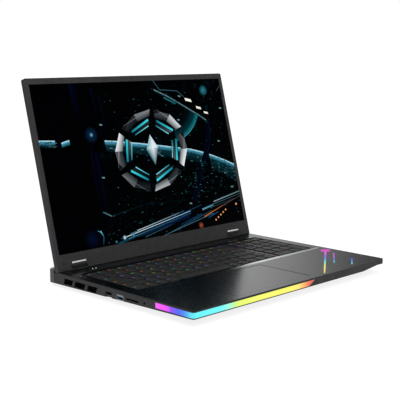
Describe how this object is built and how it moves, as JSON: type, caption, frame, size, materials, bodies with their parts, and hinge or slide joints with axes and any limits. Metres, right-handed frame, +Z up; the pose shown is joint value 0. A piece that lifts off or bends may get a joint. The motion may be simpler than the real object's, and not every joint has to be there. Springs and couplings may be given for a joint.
{
  "type": "laptop computer",
  "caption": "Large gaming laptop computer standing open, with a full keyboard and number pad, wide touchpad, light bar round the front edge and a rear exhaust block.",
  "frame": {"origin": "on the table, under the middle of the open laptop's bounding box", "axes": "+X to the user's right, +Y backwards from the front edge, +Z up"},
  "size_m": [0.404, 0.3508, 0.2921],
  "materials": {
    "deck_metal": "satin",
    "side_plastic": "matte",
    "cover_plastic": "matte",
    "block_plastic": "matte",
    "grille_black": "matte",
    "light_diffuser": "lit diffuser",
    "board_green": "solder mask",
    "chip_silver": "satin",
    "copper": "satin",
    "fin_aluminium": "satin",
    "fan_plastic": "matte",
    "battery_wrap": "matte",
    "speaker_plastic": "matte",
    "key_cap": "matte with lit legends",
    "key_bed": "matte",
    "plate_metal": "matte",
    "status_led": "lit",
    "port_steel": "satin",
    "socket_black": "matte",
    "touch_glass": "satin",
    "rubber_black": "matte",
    "screw_black": "satin",
    "hinge_steel": "satin",
    "hinge_plastic": "matte",
    "trim_chrome": "polished",
    "lid_metal": "satin",
    "bezel_plastic": "matte",
    "screen_glass": "satin, lit picture",
    "backlight_white": "matte",
    "cable_amber": "satin"
  },
  "bodies": {
    "base": {"top_case": "deck_metal", "side_frame": "side_plastic", "bottom_cover": "cover_plastic", "exhaust_block": "block_plastic", "exhaust_grilles": "grille_black", "vent_screens": "grille_black", "deck_grille": "grille_black", "light_bar": "light_diffuser", "light_bar_board": "board_green", "key_web": "key_bed", "keyboard_plate": "plate_metal", "status_lights": "status_led", "usb_port_left": "port_steel", "network_jack": "socket_black", "card_slot": "socket_black", "audio_jack": "socket_black", "usb_ports_right": "port_steel", "video_port": "port_steel", "usb_c_ports_rear": "port_steel", "power_inlet": "socket_black", "main_board": "board_green", "processor": "chip_silver", "graphics_chip": "chip_silver", "heat_pipes": "copper", "heat_sinks": "fin_aluminium", "fan_housings": "fan_plastic", "battery_pack": "battery_wrap", "speakers": "speaker_plastic", "storage_drive": "board_green", "memory_modules": "board_green", "rubber_feet": "rubber_black", "case_screws": "screw_black", "hinge_base_brackets": "hinge_steel"},
    "touchpad": {"touchpad": "touch_glass"},
    "power_button": {"power_button": "key_cap"},
    "network_jack_jaw": {"network_jack_jaw": "socket_black"},
    "fan_rotor_left": {"fan_rotor_left": "fan_plastic"},
    "fan_rotor_right": {"fan_rotor_right": "fan_plastic"},
    "function_keys": {"function_keys": "key_cap"},
    "number_keys": {"number_keys": "key_cap"},
    "upper_letter_keys": {"upper_letter_keys": "key_cap"},
    "home_letter_keys": {"home_letter_keys": "key_cap"},
    "lower_letter_keys": {"lower_letter_keys": "key_cap"},
    "left_modifier_keys": {"left_modifier_keys": "key_cap"},
    "space_bar": {"space_bar": "key_cap"},
    "right_modifier_keys": {"right_modifier_keys": "key_cap"},
    "arrow_keys": {"arrow_keys": "key_cap"},
    "numpad_keys": {"numpad_keys": "key_cap"},
    "lid": {"lid_back_cover": "lid_metal", "lid_bezel": "bezel_plastic", "display_panel": "screen_glass", "backlight_unit": "backlight_white", "display_board": "board_green", "display_cable": "cable_amber", "webcam_module": "socket_black", "hinge_lid_brackets": "hinge_steel", "hinge_pins": "hinge_steel", "hinge_covers": "hinge_plastic", "hinge_trim_bars": "trim_chrome", "lid_bumpers": "rubber_black"}
  },
  "joints": [
    {"name": "lid_hinge", "type": "hinge", "parent": "base", "child": "lid", "pos_m": [0, 0.10079, 0.0243], "axis": [-1, 0, 0], "range_deg": [-104.75, 28]},
    {"name": "touchpad_click", "type": "hinge", "parent": "base", "child": "touchpad", "pos_m": [-0.0375, -0.07071, 0.0193], "axis": [1, 0, 0], "range_deg": [0, 0.35], "stiffness_Nm_per_rad": 5, "springref_deg": -1.15},
    {"name": "power_button_press", "type": "slide", "parent": "base", "child": "power_button", "axis": [0, 0, -1], "range_m": [0, 0.001], "stiffness_N_per_m": 400, "springref_m": -0.0005},
    {"name": "network_jaw_drop", "type": "hinge", "parent": "base", "child": "network_jack_jaw", "pos_m": [-0.1893, -0.01421, 0.0084], "axis": [0, -1, 0], "range_deg": [0, 14], "stiffness_Nm_per_rad": 0.01, "springref_deg": -11.46},
    {"name": "fan_spin_left", "type": "hinge", "parent": "base", "child": "fan_rotor_left", "pos_m": [-0.118, 0.04359, 0.01], "axis": [0, 0, 1], "continuous": true},
    {"name": "fan_spin_right", "type": "hinge", "parent": "base", "child": "fan_rotor_right", "pos_m": [0.118, 0.04359, 0.01], "axis": [0, 0, 1], "continuous": true},
    {"name": "function_keys_press", "type": "slide", "parent": "base", "child": "function_keys", "axis": [0, 0, -1], "range_m": [0, 0.0015], "stiffness_N_per_m": 400, "springref_m": -0.0005},
    {"name": "number_keys_press", "type": "slide", "parent": "base", "child": "number_keys", "axis": [0, 0, -1], "range_m": [0, 0.0015], "stiffness_N_per_m": 400, "springref_m": -0.0005},
    {"name": "upper_letter_keys_press", "type": "slide", "parent": "base", "child": "upper_letter_keys", "axis": [0, 0, -1], "range_m": [0, 0.0015], "stiffness_N_per_m": 400, "springref_m": -0.0005},
    {"name": "home_letter_keys_press", "type": "slide", "parent": "base", "child": "home_letter_keys", "axis": [0, 0, -1], "range_m": [0, 0.0015], "stiffness_N_per_m": 400, "springref_m": -0.0005},
    {"name": "lower_letter_keys_press", "type": "slide", "parent": "base", "child": "lower_letter_keys", "axis": [0, 0, -1], "range_m": [0, 0.0015], "stiffness_N_per_m": 400, "springref_m": -0.0005},
    {"name": "left_modifier_keys_press", "type": "slide", "parent": "base", "child": "left_modifier_keys", "axis": [0, 0, -1], "range_m": [0, 0.0015], "stiffness_N_per_m": 400, "springref_m": -0.0005},
    {"name": "space_bar_press", "type": "slide", "parent": "base", "child": "space_bar", "axis": [0, 0, -1], "range_m": [0, 0.0015], "stiffness_N_per_m": 400, "springref_m": -0.0005},
    {"name": "right_modifier_keys_press", "type": "slide", "parent": "base", "child": "right_modifier_keys", "axis": [0, 0, -1], "range_m": [0, 0.0015], "stiffness_N_per_m": 400, "springref_m": -0.0005},
    {"name": "arrow_keys_press", "type": "slide", "parent": "base", "child": "arrow_keys", "axis": [0, 0, -1], "range_m": [0, 0.0015], "stiffness_N_per_m": 400, "springref_m": -0.0005},
    {"name": "numpad_keys_press", "type": "slide", "parent": "base", "child": "numpad_keys", "axis": [0, 0, -1], "range_m": [0, 0.0015], "stiffness_N_per_m": 400, "springref_m": -0.0005}
  ]
}
